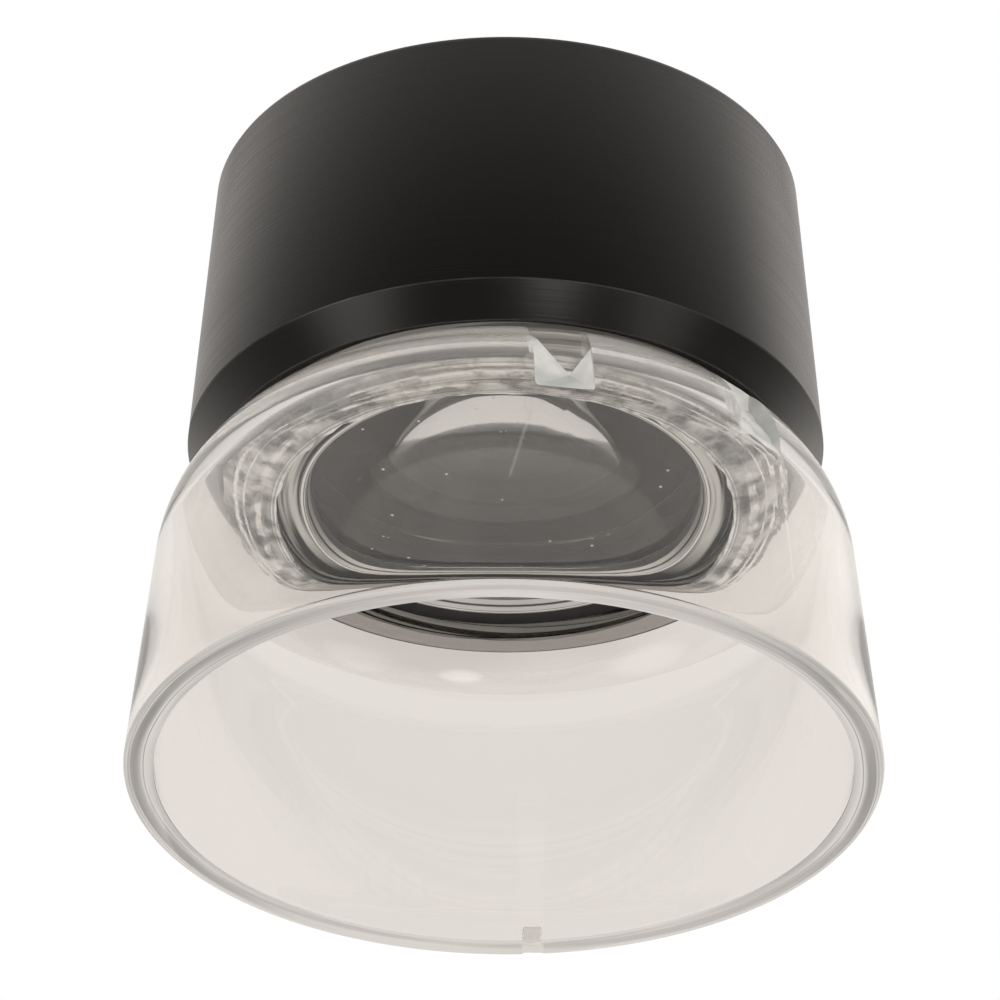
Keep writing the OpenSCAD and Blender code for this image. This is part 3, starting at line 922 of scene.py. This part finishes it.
# %% Finishes of the skirt's faces
scuffed_from = 16.6
tilted = 0.3
smooth(skirt, 28)
slot_of = {}
for key in ("rim", "bore", "scuffed"):
    slot_of[key] = len(skirt.data.materials)
    skirt.data.materials.append(finish[key])
for face in skirt.data.polygons:
    spread = math.hypot(face.center.x, face.center.y)
    if face.center.z < rim_round * MM and face.normal.z < -tilted:
        face.material_index = slot_of["rim"]
    elif spread < (hole_r + 0.05) * MM and abs(face.normal.z) < tilted:
        face.material_index = slot_of["bore"]
    elif face.material_index == 0 and face.normal.z > tilted:
        if face.center.z > scuffed_from * MM:
            face.material_index = slot_of["scuffed"]
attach(skirt, "base")
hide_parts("skirt")
print("skirt finished:", len(skirt.data.polygons), "faces")

# %% [markdown]
# ## The threaded neck
# The thread is a trapezoid carried along a helix. The Screw modifier does just that: it turns an
# outline about an axis while it climbs. Four starts are made, each a quarter turn on, and joined
# to the tube as one skin, because a ridge that only overlapped the tube would show a false inner
# surface through the clear plastic.

# %% Neck
def thread_ridge(name, root, crest, low, high, start_turn):
    """One start of a right-hand thread between two heights."""
    foot = 0.23
    top = 0.1
    steps_per_turn = 72
    outline = [(root, -foot), (crest, -top), (crest, top), (root, foot), (root, -foot)]
    ridge = draw_outline(name, outline)
    merge_doubles()
    bpy.ops.mesh.edge_face_add()
    bpy.ops.object.mode_set(mode="OBJECT")
    screw = ridge.modifiers.new("climb", "SCREW")
    turns = (high - low) / thread_lead
    screw.angle = math.tau * turns
    screw.screw_offset = (high - low) * MM
    screw.steps = round(steps_per_turn * turns)
    screw.render_steps = screw.steps
    screw.use_merge_vertices = True
    screw.use_normal_calculate = True
    apply_modifiers(ridge)
    bpy.ops.object.mode_set(mode="EDIT")
    merge_doubles()
    bpy.ops.mesh.fill_holes(sides=8)
    bpy.ops.object.mode_set(mode="OBJECT")
    ridge.data.transform(Matrix.Translation((0, 0, low * MM)))
    ridge.data.transform(Matrix.Rotation(start_turn + math.tau * low / thread_lead, 4, "Z"))
    bpy.ops.object.mode_set(mode="EDIT")
    merge_doubles()
    bpy.ops.mesh.normals_make_consistent(inside=False)
    bpy.ops.object.mode_set(mode="OBJECT")
    return ridge


neck_low = low_mm("neck")
neck_high = high_mm("neck")
ridge_root = neck_root - 0.2
ridge_low = neck_low + 0.5
ridge_high = neck_high - 0.6
neck_outline = [
    (neck_bore, neck_low),
    (neck_root, neck_low),
    (neck_root, neck_high),
    (neck_bore, neck_high),
]
neck = lathe("neck_tube", neck_outline)
for start in range(thread_starts):
    start_turn = start * math.tau / thread_starts
    ridge = thread_ridge("ridge", ridge_root, neck_crest, ridge_low, ridge_high, start_turn)
    join_solids(neck, ridge)
paint(neck, finish["clear"], finish["thread"])
for face in neck.data.polygons:
    spread = math.hypot(face.center.x, face.center.y)
    on_thread = spread > (neck_root - 0.1) * MM
    handled = face.center.y < 2 * MM
    face.material_index = 1 if handled and on_thread else 0
smooth(neck, 30)
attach(neck, "base")
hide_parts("neck")
print("neck:", len(neck.data.polygons), "faces")

# %% [markdown]
# ## Cement
# The neck is cemented into the skirt. The cement was squeezed out and cured in lumps, so a plain
# ring is spun with many short steps and then pushed about with noise, whose value at a place is
# always the same, so the piece comes out alike each time.

# %% Cement
# the flat under the neck's end, and the flank that rises beside it
mouth_r = 13.68
mouth_w = 1.2
cement_deep = 0.17
flank_r = 14.88
flank_w = 0.87
flank_rise = 0.5

# the neck's outside, which the cement touches, and the gap that stays open above it
joint_r = 15.23
gap_r = 15.78
cement_outline = [(mouth_r, neck_low - 0.03)]
cement_outline += [(mouth_r + mouth_w * i / 10, neck_low - cement_deep) for i in range(11)]
cement_outline += [
    (flank_r + flank_w * i / 8, neck_low - cement_deep + flank_rise * i / 8) for i in range(1, 9)
]
cement_outline += [
    (16.3, 18.1),
    (16.1, 18.3),
    (gap_r, 18.5),
    (gap_r, neck_low + 0.24),
    (joint_r, neck_low + 0.24),
    (joint_r, neck_low - 0.03),
]
cement = lathe("cement_ring", cement_outline, steps=288)
underside = (neck_low - 0.05) * MM
print("cement ring:", len(cement.data.polygons), "faces")

# %% [markdown]
# The lumps come first. Then the front and the sides get a bead: there the inner edge is pulled
# down and towards the axis, so that it covers the neck's mouth.

# %% Lumps and bead of the cement
lump_h = 0.13
lump_sink = 0.02
ragged_share = 0.010

# where the lumps are calmer: behind a depth and inside a radius, and the share that is left
calm_from = 8
calm_behind = 0.25
calm_mouth_r = 14.1
calm_mouth = 0.4

# the bead: its outer radius, width, drop and reach, and the depths between which it ends
bead_r = 14.3
bead_w = 0.62
bead_drop = 0.22
bead_reach = 0.36
bead_end = 9
bead_fade = 5

for vertex in cement.data.vertices:
    spread = math.hypot(vertex.co.x, vertex.co.y) / MM
    if vertex.co.z < underside or spread > hole_r:
        lump = noise.noise(vertex.co * 1100) + 0.5 * noise.noise(vertex.co * 2900)
        ragged = noise.noise(vertex.co * 700 + Vector((9, 0, 0)))
        calm = 1 if vertex.co.y < calm_from * MM else calm_behind
        calm *= calm_mouth if spread < calm_mouth_r else 1
        vertex.co.z += (lump_h * lump * calm - lump_sink) * MM
        vertex.co.x *= 1 + ragged_share * ragged
        vertex.co.y *= 1 + ragged_share * ragged
for vertex in cement.data.vertices:
    spread = math.hypot(vertex.co.x, vertex.co.y) / MM
    in_front = max(0, min(1, (bead_end - vertex.co.y / MM) / bead_fade))
    bulge = max(0, bead_r - spread) / bead_w * in_front
    if vertex.co.z < underside:
        vertex.co.z -= bead_drop * bulge * MM
    vertex.co.x *= 1 - bead_reach * bulge / spread
    vertex.co.y *= 1 - bead_reach * bulge / spread
paint(cement, finish["cement"])
smooth(cement, 60)
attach(cement, "base")
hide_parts("cement_fillet")
print("cement finished")

# %% [markdown]
# ## The barrel and the eye cap
# The barrel is one turned sleeve: a tapered outside, a bevel at the mouth, a web inside that
# carries the lens cell and a counterbore for the eye cap. The bevel keeps deeper tool rings than
# the rest, so its faces get a finish of their own, chosen by their height and slope.

# %% Barrel
lip_z = low_mm("barrel")
head_top = high_mm("barrel")
bevel_h = 1.9
corner_z = lip_z + bevel_h
nut_r = radius_mm("focusing_nut")
head_r = nut_r + 1.93
barrel_draft = math.radians(4.1)
web_z = high_mm("glide_washer")
shim_z = low_mm("focus_shim")
flange_r = radius_mm("lens_cell")
shaft_r = flange_r + 0.05
cap_r = shaft_r + 0.5
cap_rim = 1.0
nut_bore = nut_r + 0.02
cell_seat = cell_r + 0.05
lip_in = nut_r + 0.4
lip_out = nut_r + 0.52
edge_round = 0.12
top_round = 0.4


def barrel_radius(z):
    """Outer radius of the tapered barrel at a height."""
    return head_r - (z - corner_z) * math.tan(barrel_draft)


barrel_outline = [
    (nut_bore, lip_z + 0.5),
    (lip_in, lip_z),
    (lip_out, lip_z),
    (head_r - 0.06, corner_z - 0.07),
    (head_r, corner_z),
    (barrel_radius(corner_z + edge_round), corner_z + edge_round),
    (barrel_radius(head_top - top_round), head_top - top_round),
    (barrel_radius(head_top) - edge_round, head_top - edge_round),
    (barrel_radius(head_top) - top_round, head_top),
    (cap_r, head_top),
    (cap_r, head_top - cap_rim),
    (shaft_r, head_top - cap_rim),
    (shaft_r, shim_z),
    (cell_seat, shim_z),
    (cell_seat, web_z),
    (nut_bore, web_z),
]
barrel = lathe("barrel_sleeve", barrel_outline)
paint(barrel, finish["black"], finish["bevel"], finish["worn"])
for face in barrel.data.polygons:
    middle = face.center
    spread = math.hypot(middle.x, middle.y) / MM
    at_lip = middle.z < (lip_z + 0.01) * MM
    at_corner = abs(middle.z - corner_z * MM) < 0.06 * MM
    below_corner = middle.z < (corner_z - 0.08) * MM
    if face.normal.z < -0.3 and below_corner and spread > nut_r + 0.5:
        face.material_index = 1
    elif spread > nut_r + 0.35 and (at_lip or at_corner):
        face.material_index = 2
smooth(barrel, 25)
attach(barrel, "head")
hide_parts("barrel")
print("barrel:", len(barrel.data.polygons), "faces")

# %% Eye cap
cap_low = low_mm("eye_cap")
eye_r = 9.5
dish_r = 13.5
dish_deep = 1.6
groove_w = 1.2
eye_cap_outline = [
    (eye_r, cap_low + 0.6),
    (eye_r, head_top - dish_deep),
    (dish_r, head_top),
    (cap_r, head_top),
    (cap_r, head_top - cap_rim),
    (shaft_r, head_top - cap_rim),
    (shaft_r, cap_low),
    (shaft_r - groove_w, cap_low),
    (shaft_r - groove_w, cap_low + 0.9),
    (eye_r + 1.4, cap_low),
]
eye_cap = lathe("eye_cap_ring", eye_cap_outline)
soften(eye_cap, 0.08)
paint(eye_cap, finish["black"])
smooth(eye_cap, 30)
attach(eye_cap, "head")
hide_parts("eye_cap")
print("eye cap:", len(eye_cap.data.polygons), "faces")

# %% [markdown]
# ## Lenses
# A lens needs a truly round surface, because it magnifies every facet. Each dome is an arc that
# ends on the axis, spun into a smooth cap.

# %% Outer lenses
lens_r = 11.95
dome_r = cell_bore - 0.6 - 0.05

# thickness at the edge, and radius of the curve
lower_edge = 1.4
lower_curve = 26
upper_edge = 1.2
upper_curve = 40


def sag(curve, reach):
    """How far a spherical surface rises over a reach."""
    return curve - math.sqrt(curve**2 - reach**2)


def dome_points(curve, base, count=14):
    """Points from the rim of a dome to the axis."""
    centre = base + sag(curve, dome_r) - curve
    edge = math.degrees(math.acos(dome_r / curve))
    points = arc(0, centre, curve, edge, 90, count)
    return points[:-1] + [(0, points[-1][1])]


def dress_lens(piece, node, key="glass"):
    """Paints a lens and puts it in the place of its node."""
    paint(piece, finish[key])
    smooth(piece, 20)
    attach(piece, "head")
    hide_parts(node)


def plano_lens(name, node, edge, curve, key="glass"):
    """A lens that is flat below and domed above."""
    low = low_mm(node)
    outline = [(0, low), (lens_r, low), (lens_r, low + edge)] + dome_points(curve, low + edge)
    dress_lens(lathe(name, outline, closed=False), node, key)


plano_lens("lower_lens_glass", "lower_lens", lower_edge, lower_curve, "dusty")
plano_lens("upper_lens_glass", "upper_lens", upper_edge, upper_curve)
print("outer lenses made")

# %% [markdown]
# The pair in the middle shares one curved surface. It is drawn once as an arc from the edge to
# the axis. The lower lens ends on it, and the upper one starts a film of cement above it.

# %% The cemented pair
pair_curve = 26
crown_edge = 0.6
crown_curve = 35
cement_film = 0.01
flint_low = low_mm("flint_lens")
flint_high = high_mm("flint_lens")
bowl_centre = flint_high - sag(pair_curve, lens_r) + pair_curve
bowl_edge = math.degrees(math.acos(lens_r / pair_curve))
bowl = arc(0, bowl_centre, pair_curve, -bowl_edge, -90, 14)
bowl[-1] = (0, bowl[-1][1])
flint = lathe("flint_glass", [(0, flint_low), (lens_r, flint_low)] + bowl, closed=False)
crown_outline = [(r, z + cement_film) for r, z in reversed(bowl)]
crown_outline += [(lens_r, flint_high + crown_edge)]
crown_outline += dome_points(crown_curve, flint_high + crown_edge)
crown = lathe("crown_glass", crown_outline, closed=False)
dress_lens(flint, "flint_lens")
dress_lens(crown, "crown_lens")
print("cemented pair made")

# %% [markdown]
# ## The other inner pieces
# The rings, spacers and pins inside are plain turned parts, and their solids have the right
# shape. They keep it and get their finish here.

# %% Finishes of the inner pieces
inner_finish = {
    "guide_ring": "dark_brass",
    "focusing_nut": "dark_brass",
    "stop_pin": "steel",
    "glide_washer": "ptfe",
    "focus_shim": "brass",
    "lens_cell": "cell",
    "drag_ring": "rubber",
    "lower_retainer": "bright",
    "lower_spacer": "matt",
    "aperture_stop": "matt",
    "upper_spacer": "matt",
    "upper_retainer": "matt",
    "lock_ring": "matt",
}
for node, key in inner_finish.items():
    paint(nodes[node], finish[key])
print("finished:", len(inner_finish), "inner nodes")

# %% [markdown]
# ## Light and background
# The object hangs in a white studio, so the world does all the lighting. Behind the object, as
# the camera sees it, the world is bright; towards the camera it is dark, as a room behind a
# photographer is. Soft boxes beside the camera, at the sides and above are bright patches at
# given directions, and only reflections show them. The camera itself sees plain white, as in the
# photograph.

# %% World
class Sky(Nodes):
    """The world's node tree, with the brightness built up from directions."""

    def __init__(self):
        world = bpy.data.worlds.new("studio")
        bpy.context.scene.world = world
        world.use_nodes = True
        super().__init__(world.node_tree)
        self.background = self.tree.nodes["Background"]
        self.path = self.node("ShaderNodeLightPath")
        self.direction = self.node("ShaderNodeTexCoord").outputs["Generated"]

    def along(self, direction):
        """How far a ray points along a direction, from -1 to 1."""
        made = self.node("ShaderNodeVectorMath", operation="DOT_PRODUCT")
        made.inputs[1].default_value = Vector(direction).normalized()
        self.link(self.direction, made.inputs[0])
        return made.outputs["Value"]

    def step(self, value, low, high, start, end):
        """A smooth step from one brightness to another."""
        return self.ramp(value, low, high, start, end, "SMOOTHSTEP")

    def patch(self, direction, inner, outer, brightness):
        """A soft round patch of light; its two radii are in degrees."""
        edge = math.cos(math.radians(outer))
        core = math.cos(math.radians(inner))
        return self.step(self.along(direction), edge, core, 0, brightness)


# direction, radius of the full brightness, radius of the edge, brightness
soft_boxes = [
    ((-0.68, -0.39, -0.62), 4, 16, 2.2),
    ((0.70, -0.38, -0.62), 4, 14, 1.4),
    ((0.23, -0.68, -0.72), 2, 8, 4.2),
    ((0.80, 0.55, 0.30), 12, 34, 0.9),
    ((-0.80, 0.55, 0.30), 12, 34, 0.3),
    ((0, 0.1, 1), 20, 50, 0.5),
]
studio_tint = (0.825, 0.785, 0.75)

# brightness towards the camera, as reflections show it and as it is seen through clear plastic
room_mirrored = 0.08
room_through = 0.8

sky = Sky()
facing = sky.along(ahead)
mirrored = sky.step(facing, -0.45, 0.75, room_mirrored, 1.0)
for direction, inner, outer, brightness in soft_boxes:
    mirrored = sky.math("ADD", mirrored, sky.patch(direction, inner, outer, brightness))
through = sky.step(facing, -0.7, 0.1, room_through, 1.0)
shown = sky.node("ShaderNodeMix", data_type="FLOAT")
inside_rays = sky.path.outputs["Is Transmission Ray"]
spread_out = sky.math("MAXIMUM", inside_rays, sky.path.outputs["Is Diffuse Ray"])
sky.link(spread_out, shown.inputs["Factor"])
sky.link(mirrored, shown.inputs[2])
sky.link(through, shown.inputs[3])
scale = sky.node("ShaderNodeVectorMath", operation="SCALE")
scale.inputs[0].default_value = studio_tint
sky.link(shown.outputs[0], scale.inputs["Scale"])
seen = sky.blend(sky.path.outputs["Is Camera Ray"], scale.outputs["Vector"], (1.0, 1.0, 1.0))
sky.link(seen, sky.background.inputs["Color"])
print("world ready with", len(soft_boxes), "soft boxes")

# %% [markdown]
# ## Last settings
# The colours are shown as written.

# %% View settings
bpy.context.scene.view_settings.view_transform = "Standard"
